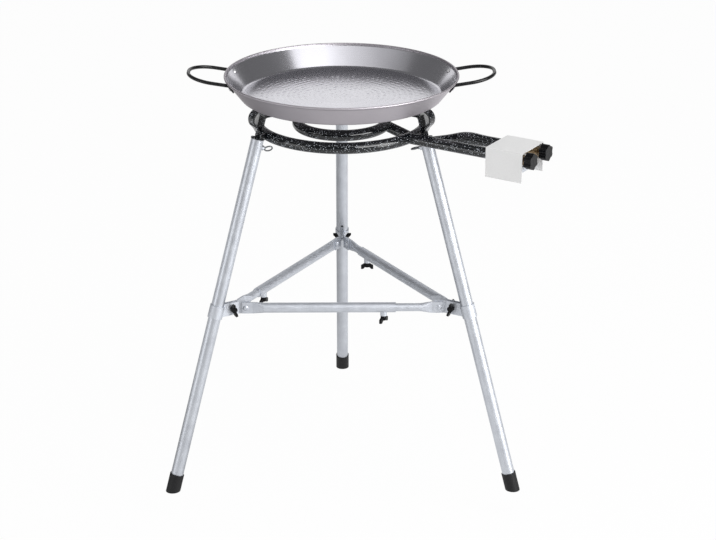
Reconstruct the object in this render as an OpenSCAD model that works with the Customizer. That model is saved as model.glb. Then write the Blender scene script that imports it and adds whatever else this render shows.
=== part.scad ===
// Paella burner set: a polished steel pan on a gas burner with two rings,
// carried by a tripod of tube legs that a telescopic brace ties together.
// Millimetres, +Z up. The origin is on the floor, under the burner's axis.

/* [Pan] */
// Diameter over the rolled rim
pan_d = 460; // [440:2:520]
// Diameter of the floor, up to the corner with the wall
pan_floor_d = 392; // [384:2:410]
// Depth from the rim to the underside
pan_depth = 44; // [38:1:60]
// Thickness of the sheet
pan_wall = 1.5; // [1:0.1:2.5]
// Radius of the corner between floor and wall
pan_corner_r = 9; // [6:1:14]
// Diameter of the rolled bead on the rim
rim_bead_d = 4; // [3.5:0.1:5]

/* [Pan handles] */
// Diameter of the rod
handle_rod_d = 7; // [6:0.5:9]
// Distance between the two arms of one handle
handle_width = 110; // [96:1:124]
// How far a handle stands out past the rim
handle_reach = 72; // [62:1:95]
// Length of the straight run between the two bends at the handle's end
handle_end_run = 10; // [4:1:44]
// Upward lean of the handle, in degrees
handle_lift = 9; // [4:1:16]
// Distance between the two rivets of one handle
handle_rivet_span = 116; // [110:1:122]
// Length of the flattened foot of an arm
handle_foot_l = 30; // [26:1:34]
// Height of the flattened foot, along the wall
handle_foot_w = 11; // [10:0.5:14]
// Thickness of the flattened foot
handle_foot_t = 3; // [2:0.5:4]
// Diameter of a pan rivet's shank
pan_rivet_d = 5; // [4:0.5:6]
// Diameter of a pan rivet's head
pan_rivet_head_d = 9; // [8:0.5:11]
// Height of a pan rivet's head
pan_rivet_head_h = 1.8; // [1.2:0.1:2.6]

/* [Burner rings] */
// Height of the ring plane above the floor
ring_z = 712; // [640:2:800]
// Radius of the outer ring, on the tube's centre line
outer_ring_r = 165; // [158:1:175]
// Radius of the inner ring, on the tube's centre line
inner_ring_r = 87; // [80:1:96]
// Diameter of the rings' tube
ring_tube_d = 22; // [20:0.5:23]
// Wall of the ring and feed tubes
ring_tube_wall = 2; // [1.5:0.1:3]
// Diameter of a flame port
port_d = 3; // [2:0.1:4]
// Number of flame ports on the outer ring
outer_ports = 40; // [24:1:56]
// Number of flame ports on the inner ring
inner_ports = 20; // [12:1:28]
// Lean of the flame ports towards the axis, in degrees
port_lean = 35; // [20:1:50]

/* [Feed tubes] */
// Direction of the two feed tubes seen from above, in degrees
feed_az = -32.5; // [-34:0.5:-31]
// Side distance from the axis to the outer ring's feed tube
outer_feed_side = 18; // [16:0.5:22]
// Distance between the two feed tubes
feed_spacing = 62; // [58:1:66]
// How much smaller the feed tubes' radius is than the rings', for a clean weld
feed_slim = 0.3; // [0.2:0.1:1]
// Distance from the axis to the tubes' ends under the shield
feed_end = 376; // [366:1:384]
// Air between the crossing tube and the outer ring above it
cross_gap = 1.5; // [1:0.5:4]
// Half length of the level run under the outer ring
cross_half = 18; // [14:1:24]
// Distance from the axis at which the inner feed is level again
feed_rise_end = 258; // [240:1:285]
// Drop of the inner feed's start below the ring plane
feed_start_drop = 6; // [4:0.5:7]
// Extra radius of the inner feed's elbows
elbow_swell = 0.4; // [0.3:0.1:0.8]
// Diameter of the air holes near a tube's end
air_hole_d = 8; // [6:0.5:9]
// Distance from a tube's end to its air holes
air_hole_back = 20; // [18:0.5:24]

/* [Pan supports] */
// Height from the ring plane to the underside of the pan
flame_gap = 55; // [50:1:66]
// Width of the bent strip
strip_w = 20; // [16:0.5:22]
// Thickness of the bent strip
strip_t = 3.5; // [3:0.1:4.5]
// Radius of the strip's outward bulge, on its centre line
bulge_r = 18; // [16:0.5:21]
// Distance from the edge of the pan's floor in to the crown that carries it
crown_inset = 14; // [10:0.5:18]
// Angle at which the bulge ends below its middle, in degrees
bulge_end = 35; // [25:1:45]
// Height above a leg's top at which the bulge's strip meets the post
strip_join = 14; // [8:0.5:20]
// Drop of the inner finger below the underside of the pan
finger_drop = 13; // [11:0.5:16]
// Distance from the leg's top centre in to the finger's tip
finger_l = 35.5; // [28:0.5:42]
// Thickness of the collar on top of a leg
collar_t = 2.5; // [2:0.1:4]
// Diameter of the collar
collar_d = 27; // [26:0.5:28]
// Width of the lug that joins a support to the outer ring
lug_w = 18; // [12:0.5:20]
// How far the lug rises above the ring plane
lug_rise = 6; // [4:0.5:8]

/* [Taps] */
// Diameter of a valve body
valve_d = 19; // [17:0.5:20]
// Length of a valve body outside its tube
valve_l = 32; // [28:1:36]
// Diameter of the flange that meets the tube's end
valve_flange_d = 24; // [22:0.5:25]
// Thickness of that flange
valve_flange_t = 4; // [3:0.5:6]
// Length of the nose inside the tube
valve_nose_l = 10; // [8:0.5:12]
// Diameter of the jet
jet_d = 9; // [8:0.5:10]
// Length of the jet past the nose
jet_l = 6; // [4:0.5:8]
// Diameter of the jet's hole
jet_hole_d = 1; // [0.6:0.1:1.6]
// Diameter of the tap stem
stem_d = 8; // [6:0.5:9]
// Depth of the stem in the valve
stem_depth = 16; // [12:1:20]
// Diameter of a tap knob over its lobes
knob_d = 32; // [28:0.5:34]
// Length of a tap knob
knob_l = 15; // [13.5:0.5:20]
// Number of lobes on a tap knob
knob_lobes = 6; // [5:1:8]
// Diameter of one lobe
knob_lobe_d = 10; // [8:0.5:11]
// Gap between a valve's face and its knob
knob_gap = 7; // [6:0.5:10]
// Depth of the stem in the knob
knob_bore_l = 12; // [10:0.5:14]
// Diameter of the manifold pipe
manifold_d = 14; // [12:0.5:16]
// Drop from the tube axis to the manifold's axis
manifold_drop = 28; // [26:0.5:30]
// Length of the manifold past each valve
manifold_over = 9; // [8:0.5:10]
// Diameter of a valve's inlet branch
branch_d = 11; // [9:0.5:12]
// Diameter of the hose tail
hose_tail_d = 9.5; // [8:0.1:10.5]
// Length of the hose tail
hose_tail_l = 25; // [20:1:30]
// Length of the hose tail's hexagon
hose_hex_l = 8; // [6:0.5:10]
// Width of the hose tail's hexagon over its corners
hose_hex_d = 17; // [14:0.5:19]
// Bore of the hose tail and the manifold
hose_bore_d = 6; // [4:0.5:7]
// Depth of the hose tail's shank in the manifold's end
hose_shank_l = 12; // [8:0.5:16]

/* [Tap shield] */
// Length of the shield along the tubes
shield_l = 77; // [68:1:80]
// Distance from the axis to the shield's near edge
shield_start = 339; // [334:1:344]
// Width of the shield across the tubes
shield_w = 87; // [86:0.5:96]
// Depth of the two skirts
shield_skirt = 58; // [50:1:66]
// Air between the tubes and the shield's top
shield_air = 4; // [2:0.5:8]
// Thickness of the sheet
shield_t = 1.2; // [0.8:0.1:1.6]
// Distance between the shield's two screws
shield_screw_span = 22; // [18:1:26]
// Diameter of a shield screw
shield_screw_d = 4; // [3:0.5:5]
// Diameter of a shield screw's head
shield_screw_head_d = 7.5; // [7:0.5:9]

/* [Legs] */
// Diameter of the leg tube
leg_d = 25; // [24:0.5:26]
// Wall of the leg tube
leg_wall = 1.5; // [1.2:0.1:2]
// Lean of a leg from upright, in degrees
leg_tilt = 16.3; // [14:0.1:19]
// Distance from the outer ring's side to a leg's top centre
leg_ring_gap = 11.5; // [11:0.5:14]
// Drop from the ring plane to a leg's top
leg_drop = 4; // [3:0.5:5]
// Length of the spigot inside a leg
spigot_l = 60; // [45:1:80]
// Height of a leg's lower end above the floor
leg_end_z = 9; // [8:0.5:12]
// Diameter of a foot cap
foot_d = 28.5; // [27.5:0.5:32]
// Length of a foot cap along the leg
foot_l = 36; // [28:1:45]
// Distance down the leg to its thumb screw
leg_screw_drop = 16; // [12:1:24]
// Diameter of the boss that takes the thumb screw
leg_boss_d = 10; // [9:0.5:13]
// Height of that boss
leg_boss_h = 4; // [3:0.5:7]
// Diameter of the thumb screw
leg_screw_d = 6; // [5:0.5:7]
// Length of the thumb screw outside its boss
leg_screw_out = 5; // [4:0.5:8]
// Diameter of the wire eye, on the wire's centre line
eye_d = 15; // [12:0.5:18]
// Diameter of the wire
eye_wire_d = 2.8; // [2:0.1:3.5]
// Diameter of the spare hole in a leg
leg_hole_d = 5; // [4:0.5:6]
// Height of the spare hole above the brace plane
leg_hole_up = 24; // [20:1:40]

/* [Brace] */
// Height of the brace plane above the floor
brace_z = 368; // [300:2:420]
// Distance from the line between two legs in to the brace tube
brace_inset = 18.5; // [17:0.5:21]
// Diameter of the outer brace tube
brace_outer_d = 20; // [19:0.5:22]
// Diameter of the inner brace tube
brace_inner_d = 16; // [14:0.5:16.5]
// Wall of the inner brace tube
brace_inner_wall = 1.5; // [1:0.1:2]
// Length of the outer brace tube, from its rivet
brace_outer_l = 297; // [285:1:305]
// How much longer the right side's outer tube is than the front's
right_outer_more = 29; // [0:1:30]
// How much longer the left side's outer tube is than the front's
left_outer_more = 21; // [0:1:30]
// Length of the inner brace tube, from its rivet
brace_inner_l = 254; // [240:1:270]
// Thickness of a flattened brace end
flat_t = 4; // [3:0.5:5]
// Height of a flattened brace end
flat_h = 23; // [20:0.5:25]
// Length of the flattened end past its rivet
flat_l = 14; // [10:0.5:18]
// Length over which a tube turns into its flattened end
flat_blend = 22; // [16:1:28]
// Margin of the flattened end round its rivet
flat_margin = 7; // [6:0.5:8]

/* [Brace corners] */
// Height of the clamp band and its ears
ear_h = 26; // [24:0.5:30]
// Thickness of the clamp strap
ear_t = 2; // [1.5:0.1:2.5]
// Half the gap between the two flanges of a clamp
flange_gap = 3; // [2:0.5:4]
// Distance along an ear from its bend to the rivet
ear_rivet = 12; // [10:0.5:14]
// Margin of an ear past its rivet
ear_tail = 9; // [7:0.5:12]
// Diameter of a brace rivet
brace_rivet_d = 6; // [5:0.5:7]
// Diameter of a brace rivet's head
brace_rivet_head_d = 11; // [10:0.5:12]
// Height of a brace rivet's head
brace_rivet_head_h = 2.5; // [1.5:0.1:3]
// Diameter of the clamp stud
stud_d = 6; // [5:0.5:6.5]
// Distance from a leg's centre to the clamp stud
stud_inset = 34; // [29.5:0.5:34.5]

/* [Wing knobs] */
// Diameter of the hub
wing_hub_d = 12; // [11:0.5:13]
// Height of the hub
wing_hub_h = 9; // [8.5:0.5:11]
// Depth of the stud's hole in a wing knob
wing_bore_l = 7; // [6:0.5:7.5]
// Span over the two wings
wing_span = 26; // [22:0.5:28]
// Height of the wing tips above the hub's base
wing_tip_h = 14; // [12:0.5:16]
// Height of a wing's underside at the hub
wing_root_h = 1.8; // [1:0.1:3]
// Height of a wing's underside at its tip
wing_under_h = 6.3; // [4:0.1:8]
// Thickness of a wing
wing_t = 4.5; // [3:0.5:5.5]
// Diameter of the boss under an outer brace tube
lock_boss_d = 13; // [12:0.5:14]
// Drop of that boss below the tube
lock_boss_h = 7; // [5:0.5:9]
// Distance from the tube's open end to the lock knob
lock_back = 24; // [20:0.5:30]

/* [Clearances] */
// Radial clearance of tubes and pins that slide or turn
run_clear = 0.05; // [0.02:0.01:0.08]
// Radial clearance of rivets and pressed pieces
press_clear = 0.02; // [0.01:0.01:0.04]
// Gap between faces that rest on each other across a joint
seat_gap = 0.05; // [0.02:0.01:0.1]
// Gap between curved faces that pass close by
pass_gap = 0.3; // [0.25:0.05:0.5]

/* [Hidden] */
$fn = 96;

// Each leg's direction seen from above. A brace side runs from a leg to the next one.
LEFT = 210;
RIGHT = 330;
BACK = 90;
HALF_SIDE = 60;
FACETS = 32;
CUT = 1;
PORT_SIDES = 8;

// Turns at rest, in degrees: wing knobs in pairs at the left, right and back leg,
// then lock knobs on the front, right and left side, then leg screws at the left, right and back leg.
WING_TURNS = [103, 20, 35, 77, 105, 75];
LOCK_TURNS = [147, 150, 90];
SCREW_TURNS = [40, 90, 45];

steel = [0.62, 0.61, 0.64];
black_rod = [0.06, 0.06, 0.07];
enamel = [0.09, 0.09, 0.11];
zinc = [0.76, 0.79, 0.84];
brass = [0.78, 0.62, 0.28];
black_plastic = [0.07, 0.07, 0.08];
white_paint = [0.9, 0.9, 0.9];

// Pan outline, on the sheet's middle line
pan_z = ring_z + flame_gap;
pan_top = pan_z + pan_depth;
bead_r = pan_d / 2 - rim_bead_d / 2;
bead_z = pan_depth - rim_bead_d / 2;
floor_r = pan_floor_d / 2;
wall_angle = atan2(bead_z - pan_wall / 2, bead_r - floor_r);
corner_run = pan_corner_r * tan(wall_angle / 2);
wall_start = [floor_r + corner_run * cos(wall_angle), pan_wall / 2 + corner_run * sin(wall_angle)];

// Handles, feet and rivets
handle_arm_x = sqrt(pow(bead_r, 2) - pow(handle_width / 2, 2));
handle_arm_z = pan_top - rim_bead_d - handle_rod_d / 2 - pass_gap;
handle_end = (pan_d / 2 + handle_reach - handle_rod_d / 2 - handle_arm_x) / cos(handle_lift);
handle_root = -30;
handle_bend_r = (handle_width - handle_end_run) / 2;
foot_down = rim_bead_d + handle_rod_d / 2 + handle_foot_w / 2;
foot_wall_s = (bead_z - foot_down + rim_bead_d / 2) / sin(wall_angle);
foot_shift = (handle_width - handle_rivet_span) / 4;
rivet_wall_r = floor_r + foot_wall_s * cos(wall_angle) + pan_wall / 2 * sin(wall_angle);
rivet_wall_z = foot_wall_s * sin(wall_angle) + pan_wall / 2 - pan_wall / 2 * cos(wall_angle);

// Burner
tube_r = ring_tube_d / 2;
bore_r = tube_r - ring_tube_wall;
feed_r = tube_r - feed_slim;
feed_bore_r = feed_r - ring_tube_wall;
feed_hole_r = feed_bore_r - ring_tube_wall;
outer_feed_y = -outer_feed_side;
inner_feed_y = feed_spacing - outer_feed_side;
cross_z = ring_z - tube_r - feed_r - cross_gap;
outer_feed_x = sqrt(pow(outer_ring_r, 2) - pow(outer_feed_y, 2));
inner_feed_x = sqrt(pow(inner_ring_r, 2) - pow(inner_feed_y, 2));
cross_x = sqrt(pow(outer_ring_r, 2) - pow(inner_feed_y, 2));
inner_feed_path = [
    [inner_feed_x, ring_z - feed_start_drop],
    [cross_x - cross_half, cross_z],
    [cross_x + cross_half, cross_z],
    [feed_rise_end, ring_z],
    [feed_end, ring_z]
];

// Legs and supports
leg_r = leg_d / 2;
leg_bore_r = leg_r - leg_wall;
leg_top_r = outer_ring_r + tube_r + leg_ring_gap;
leg_top_z = ring_z - leg_drop;
leg_l = (leg_top_z - leg_end_z) / cos(leg_tilt);
foot_r = leg_top_r + leg_top_z * tan(leg_tilt);
spigot_r = leg_bore_r - run_clear;
finger_z = pan_z - finger_drop - strip_t / 2;
bulge_c = [floor_r - crown_inset, pan_z - seat_gap - bulge_r - strip_t / 2];
bulge_foot = bulge_c + bulge_r * [cos(bulge_end), -sin(bulge_end)];
crown = [bulge_c[0], bulge_c[1] + bulge_r];
post_l = (finger_z - leg_top_z) / cos(leg_tilt);
post_top = [leg_top_r - post_l * sin(leg_tilt), finger_z];
post_foot = [leg_top_r - 2 * collar_t * sin(leg_tilt), leg_top_z + 2 * collar_t * cos(leg_tilt)];
post_join = [leg_top_r - strip_join * sin(leg_tilt), leg_top_z + strip_join * cos(leg_tilt)];

// Taps
valve_x = feed_end + valve_flange_t + valve_l / 2;
valve_face = feed_end + valve_flange_t + valve_l;
knob_x = valve_face + knob_gap;
manifold_z = ring_z - manifold_drop;
manifold_end = inner_feed_y + manifold_over;
shield_back = inner_feed_y + feed_r + press_clear + shield_t;
shield_top = ring_z + feed_r + shield_air + shield_t;
hose_seat = shield_back - manifold_end + pass_gap;
hose_end = hose_seat + hose_hex_l + hose_tail_l;
shield_screw_x = (shield_start + feed_end) / 2;

// Brace and corners
corner_r = leg_top_r + (leg_top_z - brace_z) * tan(leg_tilt);
brace_r = corner_r * cos(HALF_SIDE) - brace_inset;
brace_bore_r = brace_inner_d / 2 + run_clear;
ear_r = brace_r - (flat_t + ear_t) / 2;
flange_y = flange_gap + ear_t / 2;
bend_r = (ear_r - flange_y * sin(HALF_SIDE)) / cos(HALF_SIDE);
bend_y = bend_r * sin(HALF_SIDE) - flange_y * cos(HALF_SIDE);
rivet_y = bend_y - ear_rivet;
flat_end = rivet_y - flat_l;
tube_start = flat_end - flat_blend;
open_end = brace_outer_l - rivet_y;
lock_y = open_end - lock_back;
stud_r = corner_r - stud_inset;
knob_seat = flange_gap + ear_t + pass_gap;
stud_half = knob_seat + wing_bore_l - pass_gap;
boss_drop = brace_outer_d / 2 + lock_boss_h;

// Helpers

module ring_body(radius, tube)
    translate([0, 0, ring_z])
    rotate_extrude()
    translate([radius, 0])
    rotate(-90)
    circle(r = tube);

module at_feed(y)
    rotate([0, 0, feed_az])
    translate([0, y, 0])
    children();

module along_x(x, z)
    translate([x, 0, z])
    rotate([0, 90, 0])
    children();

module at_leg(az)
    rotate([0, 0, az])
    children();

// Local Z runs up the leg, from the centre of its top end. Local -X faces the burner's axis.
module on_leg(az)
    at_leg(az)
    translate([leg_top_r, 0, leg_top_z])
    rotate([0, -leg_tilt, 0])
    children();

// Local Y runs along the brace, from the leg at this azimuth to the next leg.
module on_side(az)
    rotate([0, 0, az + HALF_SIDE])
    translate([brace_r, 0, brace_z])
    children();

module along_y(y)
    translate([0, y, 0])
    rotate([-90, 0, 0])
    children();

function heading(p, q) = atan2(q[1] - p[1], q[0] - p[0]);

// A round bar along a path in the XZ plane, with a slightly fuller ball in each corner.
module bent_bar(path, bar_r) {
    last = len(path) - 1;
    for (i = [0:last - 1])
        translate([path[i][0], 0, path[i][1]])
        rotate([0, 90 - heading(path[i], path[i + 1]), 0])
        cylinder(r = bar_r, h = norm(path[i + 1] - path[i]));
    for (i = [1:last - 1])
        translate([path[i][0], 0, path[i][1]])
        sphere(r = bar_r + elbow_swell);
}

// A straight length of strip between two points of its side view, with round ends.
module strip_run(p, q, t) {
    translate(p)
        rotate(heading(p, q))
        translate([0, -t / 2])
        square([norm(q - p), t]);
    for (end = [p, q])
        translate(end)
        circle(d = t);
}

// An arc of strip, from one angle to a larger one, under half a turn apart.
module strip_arc(centre, radius, from, to, t)
    translate(centre)
    intersection() {
        difference() {
            circle(r = radius + t / 2);
            circle(r = radius - t / 2);
        }
        polygon(concat([[0, 0]], [for (i = [0:4]) 2 * (radius + t)
            * [cos(from + (to - from) * i / 4), sin(from + (to - from) * i / 4)]]));
    }

// Pan

module pan_sheet() {
    translate([0, 0])
        square([floor_r - corner_run, pan_wall]);
    strip_arc([floor_r - corner_run, pan_wall / 2 + pan_corner_r], pan_corner_r,
        -90, wall_angle - 90, pan_wall);
    translate(wall_start)
        rotate(wall_angle)
        translate([0, -pan_wall / 2])
        square([norm([bead_r, bead_z] - wall_start), pan_wall]);
    translate([bead_r, bead_z])
        circle(d = rim_bead_d);
}

// Everything inside the pan's outer face, which the handles are cut back from.
module pan_block()
    translate([0, 0, pan_z])
    rotate_extrude()
    polygon([
        [0, 0],
        [floor_r, 0],
        [floor_r + pan_wall / 2 * sin(wall_angle), pan_wall / 2 * (1 - cos(wall_angle))],
        [bead_r + pan_wall / 2 * sin(wall_angle), bead_z - pan_wall / 2 * cos(wall_angle)],
        [0, bead_z]
    ]);

// Local Z points out of the wall at a handle's foot, and local Y runs round the pan.
module on_wall(side, y)
    rotate([0, 0, side * asin(y / rivet_wall_r)])
    translate([rivet_wall_r, 0, pan_z + rivet_wall_z])
    rotate([0, 180 - wall_angle, 0])
    children();

module each_pan_rivet()
    for (turn = [0, 180], side = [-1, 1])
        rotate([0, 0, turn])
        on_wall(side, handle_rivet_span / 2)
        children();

module pan()
    color(steel)
    difference() {
        translate([0, 0, pan_z])
            rotate_extrude()
            pan_sheet();
        each_pan_rivet()
            translate([0, 0, -pan_wall - CUT])
            cylinder(d = pan_rivet_d, h = pan_wall + 2 * CUT);
    }

module pan_handle(turn)
    color(black_rod)
    rotate([0, 0, turn])
    difference() {
        union() {
            translate([handle_arm_x, 0, handle_arm_z])
                rotate([0, -handle_lift, 0])
                handle_loop();
            for (side = [-1, 1])
                on_wall(side, handle_rivet_span / 2)
                translate([-handle_foot_w / 2, side * foot_shift - handle_foot_l / 2, press_clear])
                cube([handle_foot_w, handle_foot_l, handle_foot_t]);
        }
        translate([0, 0, -press_clear])
            pan_block();
        for (side = [-1, 1])
            on_wall(side, handle_rivet_span / 2)
            translate([0, 0, -CUT])
            cylinder(d = pan_rivet_d, h = 2 * handle_foot_t + CUT);
    }

module handle_loop() {
    half = handle_width / 2;
    straight_end = handle_end - handle_bend_r;
    for (side = [-1, 1]) {
        translate([handle_root, side * half, 0])
            rotate([0, 90, 0])
            cylinder(d = handle_rod_d, h = straight_end - handle_root);
        translate([straight_end, side * (half - handle_bend_r), 0])
            rotate([0, 0, side > 0 ? 0 : -90])
            rotate_extrude(angle = 90)
            translate([handle_bend_r, 0])
            circle(d = handle_rod_d);
    }
    translate([handle_end, handle_bend_r - half, 0])
        rotate([-90, 0, 0])
        cylinder(d = handle_rod_d, h = handle_end_run);
}

module pan_rivets()
    color(steel)
    each_pan_rivet() {
        grip = pan_wall + handle_foot_t + 2 * press_clear;
        translate([0, 0, -pan_wall - press_clear])
            cylinder(r = pan_rivet_d / 2 - press_clear, h = grip);
        translate([0, 0, grip - pan_wall - press_clear])
            cylinder(d1 = pan_rivet_head_d, d2 = pan_rivet_d, h = pan_rivet_head_h);
        translate([0, 0, -pan_wall - press_clear - pan_rivet_head_h])
            cylinder(d1 = pan_rivet_d, d2 = pan_rivet_head_d, h = pan_rivet_head_h);
    }

// Burner

module ring_ports(radius, count)
    for (i = [0:count - 1])
        rotate([0, 0, (i + 0.5) * 360 / count])
        translate([radius, 0, ring_z])
        rotate([0, -port_lean, 0])
        cylinder(d = port_d, h = ring_tube_d, $fn = PORT_SIDES);

module outer_ring()
    color(enamel)
    difference() {
        ring_body(outer_ring_r, tube_r);
        ring_body(outer_ring_r, bore_r);
        ring_ports(outer_ring_r, outer_ports);
        at_feed(outer_feed_y)
            along_x(outer_feed_x, ring_z)
            cylinder(r = feed_hole_r, h = ring_tube_d);
    }

module inner_ring()
    color(enamel)
    difference() {
        ring_body(inner_ring_r, tube_r);
        ring_body(inner_ring_r, bore_r);
        ring_ports(inner_ring_r, inner_ports);
        at_feed(inner_feed_y)
            translate([inner_feed_x, 0, ring_z - feed_start_drop])
            rotate([0, 90 - heading(inner_feed_path[0], inner_feed_path[1]), 0])
            cylinder(r = feed_hole_r, h = ring_tube_d);
    }

module air_holes()
    along_x(feed_end - air_hole_back, ring_z)
    rotate([90, 0, 0])
    cylinder(d = air_hole_d, h = 2 * ring_tube_d, center = true);

module shield_screw_holes(hole_d)
    for (side = [-1, 1])
        translate([shield_screw_x + side * shield_screw_span / 2, 0, ring_z])
        rotate([-90, 0, 0])
        cylinder(d = hole_d, h = 2 * ring_tube_d);

module outer_feed_tube()
    color(enamel)
    difference() {
        at_feed(outer_feed_y)
            along_x(outer_feed_x, ring_z)
            difference() {
                cylinder(r = feed_r, h = feed_end - outer_feed_x);
                translate([0, 0, -CUT])
                    cylinder(r = feed_bore_r, h = feed_end - outer_feed_x + 2 * CUT);
            }
        ring_body(outer_ring_r, tube_r);
        at_feed(outer_feed_y)
            air_holes();
    }

module inner_feed_tube()
    color(enamel)
    difference() {
        at_feed(inner_feed_y)
            difference() {
                bent_bar(inner_feed_path, feed_r);
                bent_bar(inner_feed_path, feed_bore_r);
                air_holes();
                shield_screw_holes(shield_screw_d);
            }
        ring_body(inner_ring_r, tube_r);
        translate([0, 0, ring_z - 2 * ring_tube_d])
            cylinder(r = inner_ring_r, h = 4 * ring_tube_d);
    }

module pan_support(az)
    color(enamel)
    difference() {
        union() {
            at_leg(az)
                rotate([90, 0, 0])
                linear_extrude(height = strip_w, center = true)
                support_outline();
            on_leg(az)
                translate([0, 0, -spigot_l])
                cylinder(r = spigot_r, h = spigot_l + collar_t);
            on_leg(az)
                translate([0, 0, seat_gap])
                cylinder(d = collar_d, h = collar_t);
            at_leg(az)
                translate([outer_ring_r, -lug_w / 2, leg_top_z + collar_t / 2])
                cube([leg_top_r - outer_ring_r, lug_w, leg_drop + lug_rise - collar_t / 2]);
        }
        ring_body(outer_ring_r, tube_r);
    }

// Side view of a support: X is the distance from the burner's axis, and Y the height.
module support_outline() {
    strip_arc(bulge_c, bulge_r, -bulge_end, 90, strip_t);
    strip_run(bulge_foot, post_join, strip_t);
    strip_run(post_foot, post_top, strip_t);
    strip_run(crown, post_top, strip_t);
    strip_run(post_top, [leg_top_r - finger_l, finger_z], strip_t);
}

// Taps

module tap_valve(y)
    color(brass)
    difference() {
        at_feed(y) {
            along_x(feed_end - valve_nose_l, ring_z)
                cylinder(r = feed_bore_r - press_clear, h = valve_nose_l + CUT);
            along_x(feed_end + press_clear, ring_z)
                cylinder(d = valve_flange_d, h = valve_flange_t, $fn = 6);
            along_x(feed_end + CUT, ring_z)
                cylinder(d = valve_d, h = valve_flange_t + valve_l - CUT);
            translate([valve_x, 0, manifold_z])
                cylinder(d = branch_d, h = manifold_drop);
        }
        at_feed(y)
            along_x(valve_face - stem_depth, ring_z)
            cylinder(r = stem_d / 2 + run_clear, h = stem_depth + CUT);
        at_feed(y)
            along_x(feed_end - valve_nose_l - CUT, ring_z)
            cylinder(d = jet_d, h = valve_nose_l + CUT);
        manifold_body(manifold_d / 2 + press_clear);
    }

module tap_jet(y)
    color(brass)
    at_feed(y)
    along_x(feed_end - valve_nose_l - jet_l, ring_z)
    difference() {
        cylinder(r = jet_d / 2 - press_clear, h = jet_l + valve_nose_l - press_clear);
        translate([0, 0, -CUT])
            cylinder(d = jet_hole_d, h = jet_l + valve_nose_l + 2 * CUT);
    }

module manifold_body(radius)
    at_feed(outer_feed_y)
    translate([valve_x, -manifold_over, manifold_z])
    rotate([-90, 0, 0])
    cylinder(r = radius, h = feed_spacing + 2 * manifold_over);

// Local Z runs out of the manifold's back end, through the shield's back skirt.
module hose_axis()
    at_feed(manifold_end)
    translate([valve_x, 0, manifold_z])
    rotate([-90, 0, 0])
    children();

module gas_manifold()
    color(zinc)
    difference() {
        manifold_body(manifold_d / 2);
        hose_axis()
            translate([0, 0, -hose_shank_l])
            cylinder(r = hose_tail_d / 2 + press_clear, h = hose_shank_l + CUT);
        hose_axis()
            translate([0, 0, -feed_spacing - manifold_over])
            cylinder(d = hose_bore_d, h = feed_spacing + manifold_over);
    }

module hose_tail()
    color(brass)
    hose_axis()
    difference() {
        union() {
            translate([0, 0, press_clear - hose_shank_l])
                cylinder(d = hose_tail_d, h = hose_shank_l - press_clear + hose_end);
            translate([0, 0, hose_seat])
                cylinder(d = hose_hex_d, h = hose_hex_l, $fn = 6);
        }
        translate([0, 0, -hose_shank_l])
            cylinder(d = hose_bore_d, h = hose_shank_l + hose_end + CUT);
    }

module tap_stem(y)
    color(brass)
    at_feed(y)
    along_x(valve_face - stem_depth + pass_gap, ring_z)
    cylinder(d = stem_d, h = stem_depth - pass_gap + knob_gap + knob_bore_l - press_clear);

module tap_knob(y)
    color(black_plastic)
    at_feed(y)
    along_x(knob_x, ring_z)
    difference() {
        linear_extrude(height = knob_l) {
            circle(d = knob_d - knob_lobe_d / 2);
            for (i = [0:knob_lobes - 1])
                rotate(i * 360 / knob_lobes)
                translate([(knob_d - knob_lobe_d) / 2, 0])
                circle(d = knob_lobe_d);
        }
        translate([0, 0, -CUT])
            cylinder(r = stem_d / 2 + press_clear, h = knob_bore_l + CUT);
    }

module tap_shield()
    color(white_paint)
    difference() {
        rotate([0, 0, feed_az])
            translate([shield_start, shield_back - shield_w, shield_top - shield_skirt])
            difference() {
                cube([shield_l, shield_w, shield_skirt]);
                translate([-CUT, shield_t, -CUT])
                    cube([shield_l + 2 * CUT, shield_w - 2 * shield_t, shield_skirt - shield_t + CUT]);
            }
        at_feed(inner_feed_y)
            shield_screw_holes(shield_screw_d);
        hose_axis()
            cylinder(r = hose_tail_d / 2 + pass_gap, h = hose_seat + CUT);
    }

module shield_screws()
    color(zinc)
    at_feed(inner_feed_y)
    for (side = [-1, 1])
        translate([shield_screw_x + side * shield_screw_span / 2, feed_bore_r, ring_z])
        rotate([-90, 0, 0]) {
            shank = ring_tube_wall + shield_t + 2 * press_clear;
            cylinder(r = shield_screw_d / 2 - press_clear, h = shank);
            translate([0, 0, shank])
                cylinder(d1 = shield_screw_head_d, d2 = shield_screw_d, h = shield_screw_d / 2);
        }

// Legs

module leg_screw_axis(az)
    on_leg(az)
    translate([0, 0, -leg_screw_drop])
    rotate([0, -90, 0])
    children();

module leg(az)
    color(zinc)
    difference() {
        union() {
            on_leg(az)
                translate([0, 0, -leg_l])
                cylinder(r = leg_r, h = leg_l);
            leg_screw_axis(az)
                cylinder(d = leg_boss_d, h = leg_r + leg_boss_h);
        }
        on_leg(az)
            translate([0, 0, -leg_l - CUT])
            cylinder(r = leg_bore_r, h = leg_l + 2 * CUT);
        leg_screw_axis(az)
            cylinder(r = leg_screw_d / 2 + run_clear, h = leg_d);
        at_leg(az)
            translate([corner_r - leg_hole_up * tan(leg_tilt), 0, brace_z + leg_hole_up])
            rotate([0, -90, 0])
            cylinder(d = leg_hole_d, h = leg_d);
    }

module foot(az)
    color(black_plastic)
    difference() {
        on_leg(az)
            translate([0, 0, -leg_l - leg_end_z - foot_d])
            cylinder(d = foot_d, h = foot_d + foot_l);
        on_leg(az)
            translate([0, 0, -leg_l - press_clear])
            cylinder(r = leg_r + press_clear, h = leg_l);
        at_leg(az)
            translate([foot_r - foot_d, -foot_d, -2 * foot_d])
            cube([2 * foot_d, 2 * foot_d, 2 * foot_d]);
    }

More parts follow.
